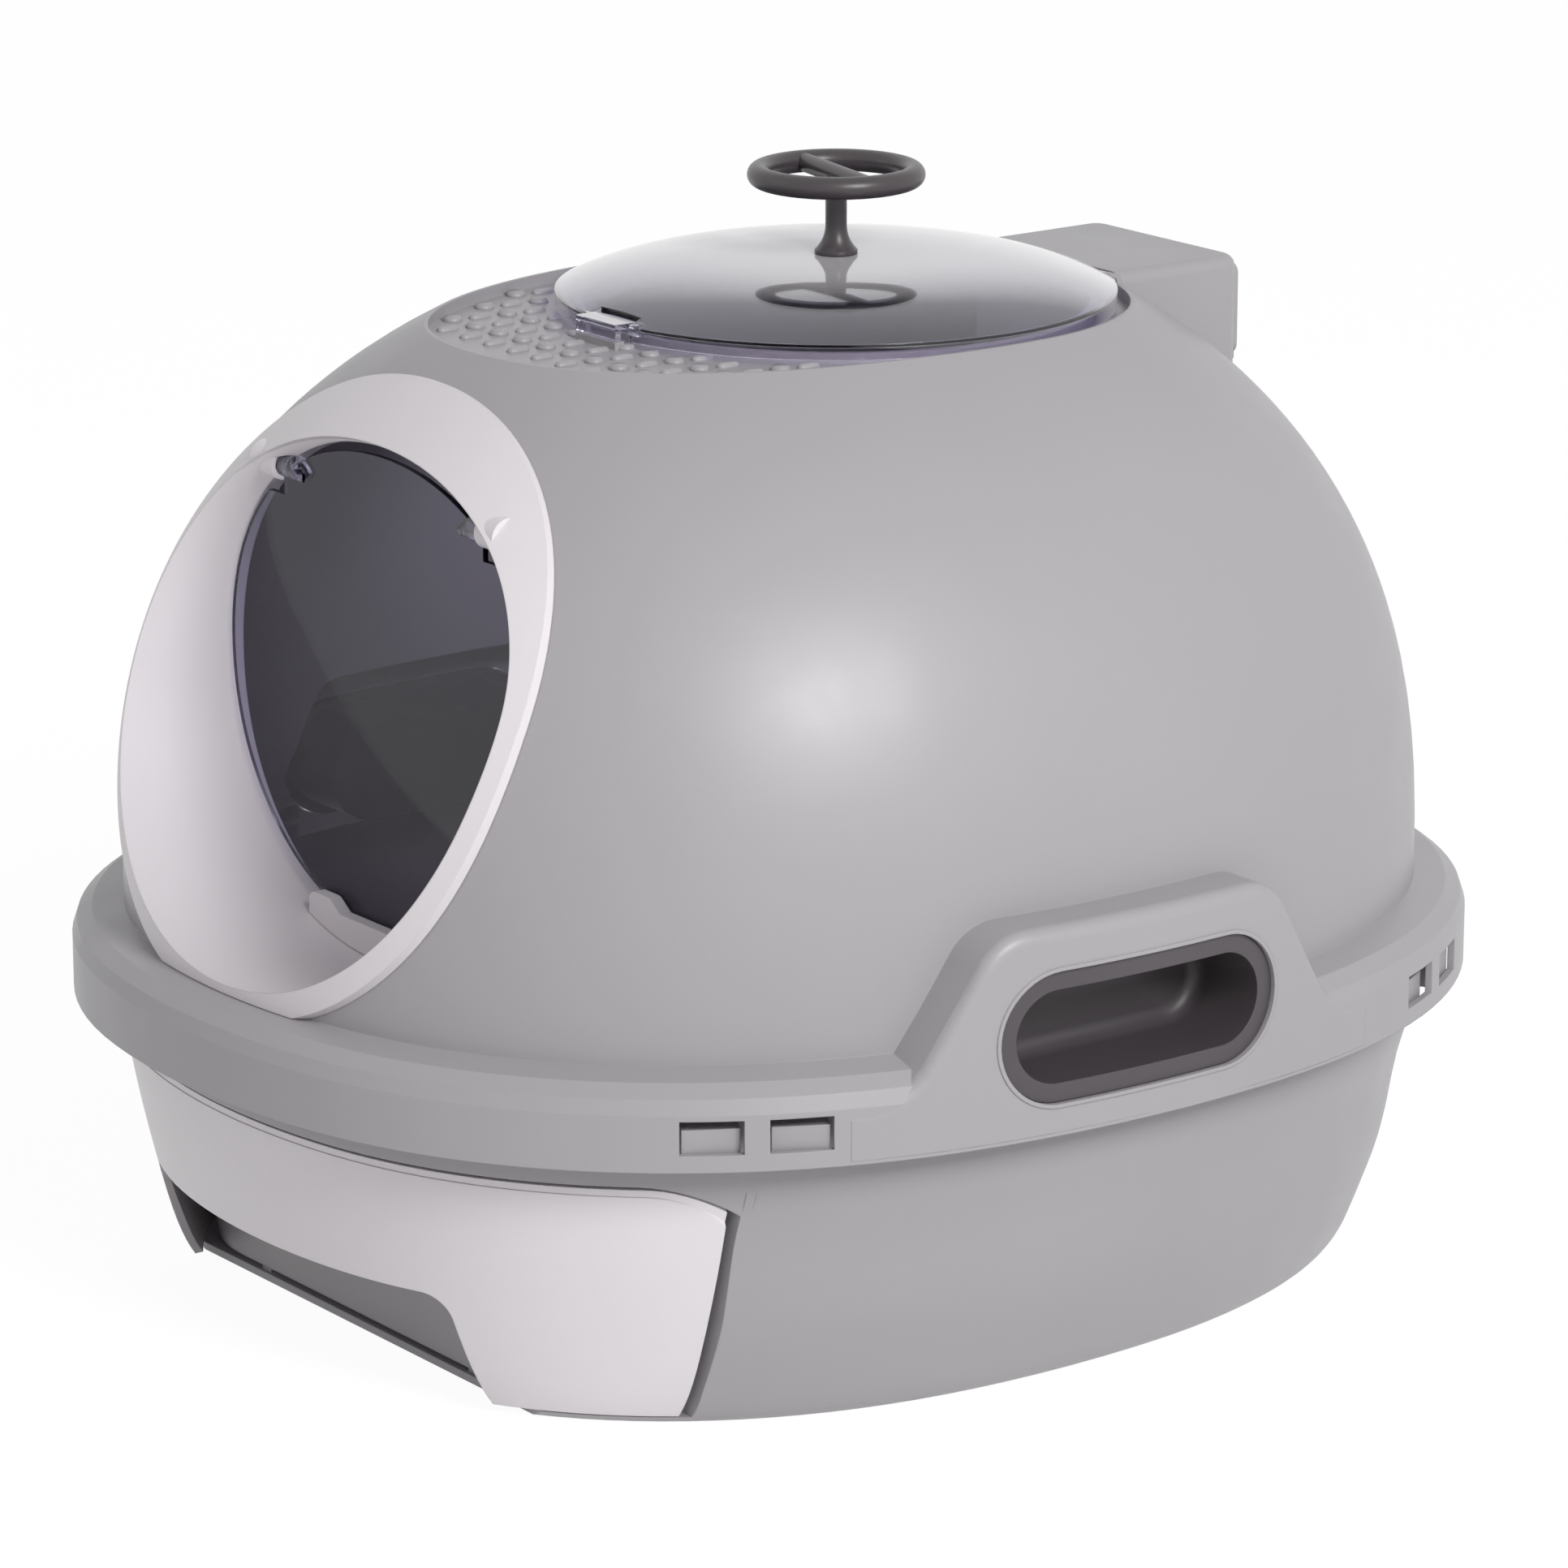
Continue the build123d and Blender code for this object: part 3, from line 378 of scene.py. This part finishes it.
class LITTERBOX_OT_grips(bpy.types.Operator):
    """Finish the dark side grips"""

    bl_idname = "litterbox.grips"
    bl_label = "Side Grips"

    def execute(self, context):
        look = context.scene.litterbox_shells
        wheel = context.scene.litterbox_lid
        dark = moulded_polypropylene(
            "Etched polypropylene, dark grip", look.grip_colour, wheel.wheel, look.grain,
            look.grain_depth, TRAY_ROUGHNESS)
        dress(("side_handle_left", "side_handle_right"), dark)
        return {"FINISHED"}


class LITTERBOX_OT_filter(bpy.types.Operator):
    """Finish the carbon pad of the filter"""

    bl_idname = "litterbox.filter"
    bl_label = "Carbon Filter"

    def execute(self, context):
        look = context.scene.litterbox_lid
        dress(("carbon_filter",), carbon_foam("Carbon foam", look.carbon, look.carbon_fleck))
        return {"FINISHED"}


# Height of the recess floor and the shape of the recess, as in the frame
RECESS_FLOOR = 364.0 * MM
RECESS_CENTRE = 30.0 * MM
RECESS_HALF_WIDTH = 108.2 * MM
RECESS_HALF_DEPTH = 137.0 * MM
RECESS_POWER = 2.28
# Rows of bumps: how many, where the first one lies, and the tilt of the bars' facets
BUMPS_ACROSS = 17
BUMP_ROWS = 13
FIRST_ROW = -111.6 * MM
ROW_OFFSET = 0.9 * MM
BAR_TURN = 0.2618
# Radius round the lid's centre that stays free of bumps
LID_CLEARANCE = 104.5 * MM


def bump_pattern_tree(material):
    """Node tree that lays rows of round buttons and bars on the recess floor."""
    tree = bpy.data.node_groups.new("Recess bumps", "GeometryNodeTree")
    tree.interface.new_socket("Geometry", in_out="OUTPUT", socket_type="NodeSocketGeometry")
    for name in ("Pitch", "Row spacing", "Row shift", "Button size", "Bar length", "Bar width",
                 "Height", "Lid clearance"):
        tree.interface.new_socket(name, in_out="INPUT", socket_type="NodeSocketFloat")
    sizes = add(tree, "NodeGroupInput").outputs

    def maths(operation, first, second=0.0, third=0.0):
        node = add(tree, "ShaderNodeMath", {0: first, 1: second, 2: third}, operation=operation)
        return node.outputs[0]

    # Rows of points from the front of the recess backwards
    points = add(tree, "GeometryNodeMeshGrid", {
        "Size X": maths("MULTIPLY", sizes["Pitch"], BUMPS_ACROSS - 1.0),
        "Size Y": maths("MULTIPLY", sizes["Row spacing"], BUMP_ROWS - 1.0),
        "Vertices X": BUMPS_ACROSS, "Vertices Y": BUMP_ROWS})
    place = add(tree, "ShaderNodeSeparateXYZ", {0: add(tree, "GeometryNodeInputPosition").outputs[0]})
    half_depth = maths("MULTIPLY", sizes["Row spacing"], (BUMP_ROWS - 1) / 2)
    row = maths("ROUND", maths("DIVIDE", maths("ADD", place.outputs["Y"], half_depth),
                               sizes["Row spacing"]))
    shift = maths("MULTIPLY", maths("SUBTRACT", row, 1.0), sizes["Row shift"])
    middle = maths("ADD", maths("MULTIPLY", sizes["Pitch"], 0.5), ROW_OFFSET)
    x = maths("ADD", maths("ADD", place.outputs["X"], middle), shift)
    y = maths("ADD", maths("MULTIPLY", row, sizes["Row spacing"]), FIRST_ROW)
    spot = add(tree, "ShaderNodeCombineXYZ", {"X": x, "Y": y, "Z": RECESS_FLOOR})
    marked = add(tree, "GeometryNodeStoreNamedAttribute", {
        "Geometry": points.outputs["Mesh"], "Name": "row kind", "Value": maths("MODULO", row, 2.0)},
        data_type="FLOAT", domain="POINT")
    laid = add(tree, "GeometryNodeSetPosition", {
        "Geometry": marked.outputs["Geometry"], "Position": spot.outputs["Vector"]})

    # Only the points that lie inside the recess and clear of the lid's rim stay
    now = add(tree, "ShaderNodeSeparateXYZ", {0: add(tree, "GeometryNodeInputPosition").outputs[0]})
    back = maths("SUBTRACT", now.outputs["Y"], RECESS_CENTRE)
    margin = maths("MULTIPLY", sizes["Button size"], 0.56)
    wide = maths("POWER", maths("DIVIDE", maths("ABSOLUTE", now.outputs["X"]),
                                maths("SUBTRACT", RECESS_HALF_WIDTH, margin)), RECESS_POWER)
    front_reach = maths("SUBTRACT", RECESS_HALF_DEPTH + RECESS_CENTRE, margin)
    long = maths("POWER", maths("DIVIDE", maths("ABSOLUTE", back), front_reach), RECESS_POWER)
    inside = maths("LESS_THAN", maths("ADD", wide, long), 1.0)
    reach = maths("SQRT", maths("ADD", maths("POWER", now.outputs["X"], 2.0),
                                maths("POWER", back, 2.0)))
    clear = maths("GREATER_THAN", reach, sizes["Lid clearance"])
    outside = maths("LESS_THAN", maths("MULTIPLY", inside, clear), 0.5)
    kept = add(tree, "GeometryNodeDeleteGeometry", {
        "Geometry": laid.outputs["Geometry"], "Selection": outside}, domain="POINT")
    kind = add(tree, "GeometryNodeInputNamedAttribute", {"Name": "row kind"}, data_type="FLOAT")
    is_button = maths("GREATER_THAN", kind.outputs["Attribute"], 0.5)
    is_bar = maths("LESS_THAN", kind.outputs["Attribute"], 0.5)

    # Low round button with a sloped side, sunk a little into the floor
    button = add(tree, "GeometryNodeMeshCone", {
        "Vertices": 20, "Side Segments": 2, "Radius Top": maths("MULTIPLY", sizes["Button size"], 0.39),
        "Radius Bottom": maths("MULTIPLY", sizes["Button size"], 0.5),
        "Depth": maths("MULTIPLY", sizes["Height"], 1.2)}, fill_type="NGON")
    button_low = add(tree, "ShaderNodeCombineXYZ", {"Z": maths("MULTIPLY", sizes["Height"], -0.2)})
    button_set = add(tree, "GeometryNodeTransform", {
        "Geometry": button.outputs["Mesh"], "Translation": button_low.outputs["Vector"]})
    # Bar: a ball pulled apart along its middle and flattened
    ball = add(tree, "GeometryNodeMeshUVSphere", {
        "Segments": 12, "Rings": 6, "Radius": maths("MULTIPLY", sizes["Bar width"], 0.5)})
    turned = add(tree, "GeometryNodeTransform", {
        "Geometry": ball.outputs["Mesh"], "Rotation": (0.0, 0.0, BAR_TURN)})
    skin = add(tree, "ShaderNodeSeparateXYZ", {0: add(tree, "GeometryNodeInputPosition").outputs[0]})
    pull = maths("MULTIPLY", maths("SIGN", skin.outputs["Y"]),
                 maths("MULTIPLY", maths("SUBTRACT", sizes["Bar length"], sizes["Bar width"]), 0.5))
    flat = maths("DIVIDE", sizes["Height"], maths("MULTIPLY", sizes["Bar width"], 0.5))
    bar_spot = add(tree, "ShaderNodeCombineXYZ", {
        "X": skin.outputs["X"], "Y": maths("ADD", skin.outputs["Y"], pull),
        "Z": maths("MULTIPLY", skin.outputs["Z"], flat)})
    bar = add(tree, "GeometryNodeSetPosition", {
        "Geometry": turned.outputs["Geometry"], "Position": bar_spot.outputs["Vector"]})

    buttons = add(tree, "GeometryNodeInstanceOnPoints", {
        "Points": kept.outputs["Geometry"], "Selection": is_button,
        "Instance": button_set.outputs["Geometry"]})
    bars = add(tree, "GeometryNodeInstanceOnPoints", {
        "Points": kept.outputs["Geometry"], "Selection": is_bar, "Instance": bar.outputs["Geometry"]})
    both = add(tree, "GeometryNodeJoinGeometry")
    tree.links.new(buttons.outputs["Instances"], both.inputs[0])
    tree.links.new(bars.outputs["Instances"], both.inputs[0])
    real = add(tree, "GeometryNodeRealizeInstances", {"Geometry": both.outputs["Geometry"]})
    smooth = add(tree, "GeometryNodeSetShadeSmooth", {"Geometry": real.outputs["Geometry"]})
    painted = add(tree, "GeometryNodeSetMaterial", {
        "Geometry": smooth.outputs["Geometry"], "Material": material})
    add(tree, "NodeGroupOutput", {"Geometry": painted.outputs["Geometry"]})
    return tree


class LITTERBOX_OT_pattern(bpy.types.Operator):
    """Lay the raised buttons and bars on the floor of the top recess"""

    bl_idname = "litterbox.pattern"
    bl_label = "Recess Bumps"

    def execute(self, context):
        look = context.scene.litterbox_pattern
        material = nodes["hood_shell"].material_slots[0].material
        tree = bump_pattern_tree(material)
        seed = bpy.data.objects.new("recess_bumps_seed", bpy.data.meshes.new("recess_bumps_seed"))
        context.scene.collection.objects.link(seed)
        modifier = seed.modifiers.new("Recess bumps", "NODES")
        modifier.node_group = tree
        sizes = {
            "Pitch": look.pitch, "Row spacing": look.row_spacing, "Row shift": look.row_shift,
            "Button size": look.button_size, "Bar length": look.bar_length, "Bar width": look.bar_width,
            "Height": look.height, "Lid clearance": LID_CLEARANCE,
        }
        for item in tree.interface.items_tree:
            if item.in_out == "INPUT":
                modifier[item.identifier] = sizes[item.name]
        context.view_layer.update()
        ready = seed.evaluated_get(context.evaluated_depsgraph_get())
        mesh = bpy.data.meshes.new_from_object(ready)
        bpy.data.objects.remove(seed)
        if not mesh.polygons:
            raise RuntimeError("the recess bumps came out empty")
        mesh.materials.clear()
        mesh.materials.append(material)
        bumps = bpy.data.objects.new("recess_bumps", mesh)
        context.scene.collection.objects.link(bumps)
        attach(bumps, "hood")
        return {"FINISHED"}


# Stage, in metres
FLOOR_REACH = 14.0
FLOOR_LEVEL = -0.2 * MM
KEY_PLACE, KEY_TARGET, KEY_WIDTH = (2.41, -0.31, 1.78), (0.18, -0.11, 0.27), 0.9
FILL_PLACE, FILL_TARGET, FILL_WIDTH = (-1.6, -2.4, 1.5), (0.0, 0.0, 0.2), 1.4
CAMERA_PLACE, CAMERA_TARGET = (1.9995, -1.5015, 0.8862), (0.00106, 0.00441, 0.180)
# Share of its own white that the floor shows, and how bright that white is
FLOOR_WHITE_SHARE = 0.9
FLOOR_WHITE = 1.05


def aim(thing, target):
    """Turns a lamp or the camera to look at a point."""
    thing.rotation_euler = (Vector(target) - thing.location).to_track_quat("-Z", "Y").to_euler()


def soft_lamp(context, name, place, target, width, power):
    """Square soft box."""
    data = bpy.data.lights.new(name, "AREA")
    data.shape = "SQUARE"
    data.size = width
    data.energy = power
    lamp = bpy.data.objects.new(name, data)
    lamp.location = place
    aim(lamp, target)
    context.scene.collection.objects.link(lamp)


def seen_directly(tree):
    """1 for rays from the camera, off a gloss or through glass, 0 for light that falls on things."""
    path = add(tree, "ShaderNodeLightPath")
    seen = path.outputs["Is Camera Ray"]
    for kind in ("Is Glossy Ray", "Is Transmission Ray"):
        larger = add(tree, "ShaderNodeMath", {0: seen, 1: path.outputs[kind]}, operation="MAXIMUM")
        seen = larger.outputs[0]
    return seen


def pale_floor_material():
    """Matt painted board. It gives a plain white ground that keeps a soft shadow."""
    material, tree = new_material("Matt white board")
    board = add(tree, "ShaderNodeBsdfPrincipled", {
        "Base Color": hex_colour("F4F4F4"), "Roughness": 0.9})
    glow = add(tree, "ShaderNodeEmission", {"Color": hex_colour("FFFFFF"), "Strength": FLOOR_WHITE})
    share = add(tree, "ShaderNodeMath", {0: seen_directly(tree), 1: FLOOR_WHITE_SHARE},
                operation="MULTIPLY")
    surface = add(tree, "ShaderNodeMixShader", {
        0: share.outputs[0], 1: board.outputs["BSDF"], 2: glow.outputs["Emission"]})
    return close_material(material, tree, surface.outputs["Shader"])


def white_room(context, strength):
    """White world: plain light on the object, pure white where the camera, gloss or glass shows it."""
    world = bpy.data.worlds.new("White room")
    world.use_nodes = True
    tree = world.node_tree
    tree.nodes.clear()
    light = add(tree, "ShaderNodeBackground", {"Color": hex_colour("FFFFFF"), "Strength": strength})
    shown = add(tree, "ShaderNodeBackground", {"Color": hex_colour("FFFFFF"), "Strength": 1.0})
    mix = add(tree, "ShaderNodeMixShader", {
        0: seen_directly(tree), 1: light.outputs["Background"], 2: shown.outputs["Background"]})
    add(tree, "ShaderNodeOutputWorld", {"Surface": mix.outputs["Shader"]})
    context.scene.world = world


class LITTERBOX_OT_stage(bpy.types.Operator):
    """Set the floor, the room, the lamps and the camera"""

    bl_idname = "litterbox.stage"
    bl_label = "Studio"

    def execute(self, context):
        look = context.scene.litterbox_stage
        scene = context.scene
        mesh = bpy.data.meshes.new("studio_floor")
        signs = ((-1, -1), (1, -1), (1, 1), (-1, 1))
        corners = [(x * FLOOR_REACH, y * FLOOR_REACH, FLOOR_LEVEL) for x, y in signs]
        mesh.from_pydata(corners, [], [(0, 1, 2, 3)])
        mesh.materials.append(pale_floor_material())
        floor = bpy.data.objects.new("studio_floor", mesh)
        scene.collection.objects.link(floor)
        white_room(context, look.room)
        soft_lamp(context, "key_lamp", KEY_PLACE, KEY_TARGET, KEY_WIDTH, look.key_power)
        soft_lamp(context, "fill_lamp", FILL_PLACE, FILL_TARGET, FILL_WIDTH, look.fill_power)

        lens = bpy.data.cameras.new("photo_view")
        lens.sensor_width = 36.0
        lens.lens = look.lens
        camera = bpy.data.objects.new("photo_view", lens)
        camera.location = CAMERA_PLACE
        aim(camera, CAMERA_TARGET)
        scene.collection.objects.link(camera)
        scene.camera = camera
        scene.view_settings.view_transform = "Standard"
        return {"FINISHED"}


class LITTERBOX_PT_panel(bpy.types.Panel):
    """Lists the pieces of the litter box and their settings"""

    bl_idname = "LITTERBOX_PT_panel"
    bl_label = "Covered Litter Box"
    bl_space_type = "VIEW_3D"
    bl_region_type = "UI"
    bl_category = "Litter Box"

    def draw(self, context):
        for settings, operators in PANEL_ROWS:
            box = self.layout.box()
            group = getattr(context.scene, settings)
            for name in group.bl_rna.properties.keys():
                if name not in ("rna_type", "name"):
                    box.prop(group, name)
            for operator in operators:
                box.operator(operator)


SETTINGS = {
    "litterbox_shells": ShellSettings,
    "litterbox_clear": ClearSettings,
    "litterbox_lid": LidSettings,
    "litterbox_pattern": PatternSettings,
    "litterbox_stage": StageSettings,
}

PANEL_ROWS = (
    ("litterbox_shells", ("litterbox.shells", "litterbox.whites", "litterbox.grips")),
    ("litterbox_clear", ("litterbox.door",)),
    ("litterbox_lid", ("litterbox.lid", "litterbox.filter")),
    ("litterbox_pattern", ("litterbox.pattern",)),
    ("litterbox_stage", ("litterbox.stage",)),
)

OPERATORS = (LITTERBOX_OT_shells, LITTERBOX_OT_whites, LITTERBOX_OT_door, LITTERBOX_OT_lid,
             LITTERBOX_OT_grips, LITTERBOX_OT_filter, LITTERBOX_OT_pattern, LITTERBOX_OT_stage)


def register():
    for group in SETTINGS.values():
        bpy.utils.register_class(group)
    for name, group in SETTINGS.items():
        setattr(bpy.types.Scene, name, bpy.props.PointerProperty(type=group))
    for operator in OPERATORS:
        bpy.utils.register_class(operator)
    bpy.utils.register_class(LITTERBOX_PT_panel)


def unregister():
    bpy.utils.unregister_class(LITTERBOX_PT_panel)
    for operator in reversed(OPERATORS):
        bpy.utils.unregister_class(operator)
    for name in SETTINGS:
        delattr(bpy.types.Scene, name)
    for group in reversed(tuple(SETTINGS.values())):
        bpy.utils.unregister_class(group)


def main():
    register()
    bpy.ops.litterbox.shells()
    bpy.ops.litterbox.whites()
    bpy.ops.litterbox.door()
    bpy.ops.litterbox.lid()
    bpy.ops.litterbox.grips()
    bpy.ops.litterbox.filter()
    bpy.ops.litterbox.pattern()
    bpy.ops.litterbox.stage()


if __name__ == "__main__":
    main()
